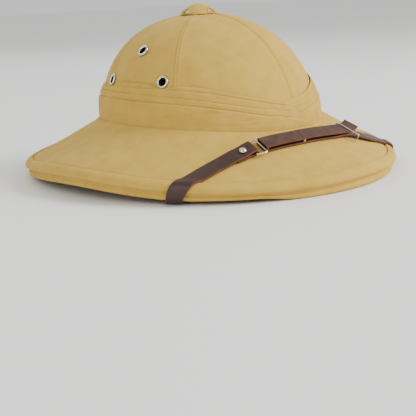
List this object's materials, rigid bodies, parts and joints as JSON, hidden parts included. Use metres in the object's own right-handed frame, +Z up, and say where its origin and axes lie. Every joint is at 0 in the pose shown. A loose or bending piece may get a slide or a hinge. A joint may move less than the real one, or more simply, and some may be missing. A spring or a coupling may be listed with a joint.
{
  "type": "pith helmet",
  "caption": "Cloth-covered pith helmet with a domed crown, sloping bound brim, pleated cloth band, vented cap, nickel eyelets and a leather chin strap worn over the brim.",
  "frame": {"origin": "on the surface that the hat stands on, under the middle of its rim", "axes": "+Z up; -Y towards the front of the hat; -X towards the wearer's right"},
  "size_m": [0.3098, 0.356, 0.1457],
  "materials": {
    "khaki_cloth": "matte plain-woven cotton",
    "brown_leather": "smooth polished strap leather",
    "nickel": "polished nickel plate"
  },
  "bodies": {
    "root": {"crown": "khaki_cloth", "brim": "khaki_cloth", "rim_binding": "khaki_cloth", "puggaree": "khaki_cloth", "vent_cap": "khaki_cloth", "cap_post": "nickel", "eyelet_right_top": "nickel", "eyelet_right_front": "nickel", "eyelet_right_back": "nickel", "eyelet_left_top": "nickel", "eyelet_left_front": "nickel", "eyelet_left_back": "nickel", "strap_right": "brown_leather", "strap_left": "brown_leather", "front_loop": "nickel", "slide_loop": "nickel", "strap_stud": "nickel", "layer_pin": "nickel", "strap_anchor_right": "nickel", "strap_anchor_left": "nickel"}
  },
  "joints": []
}
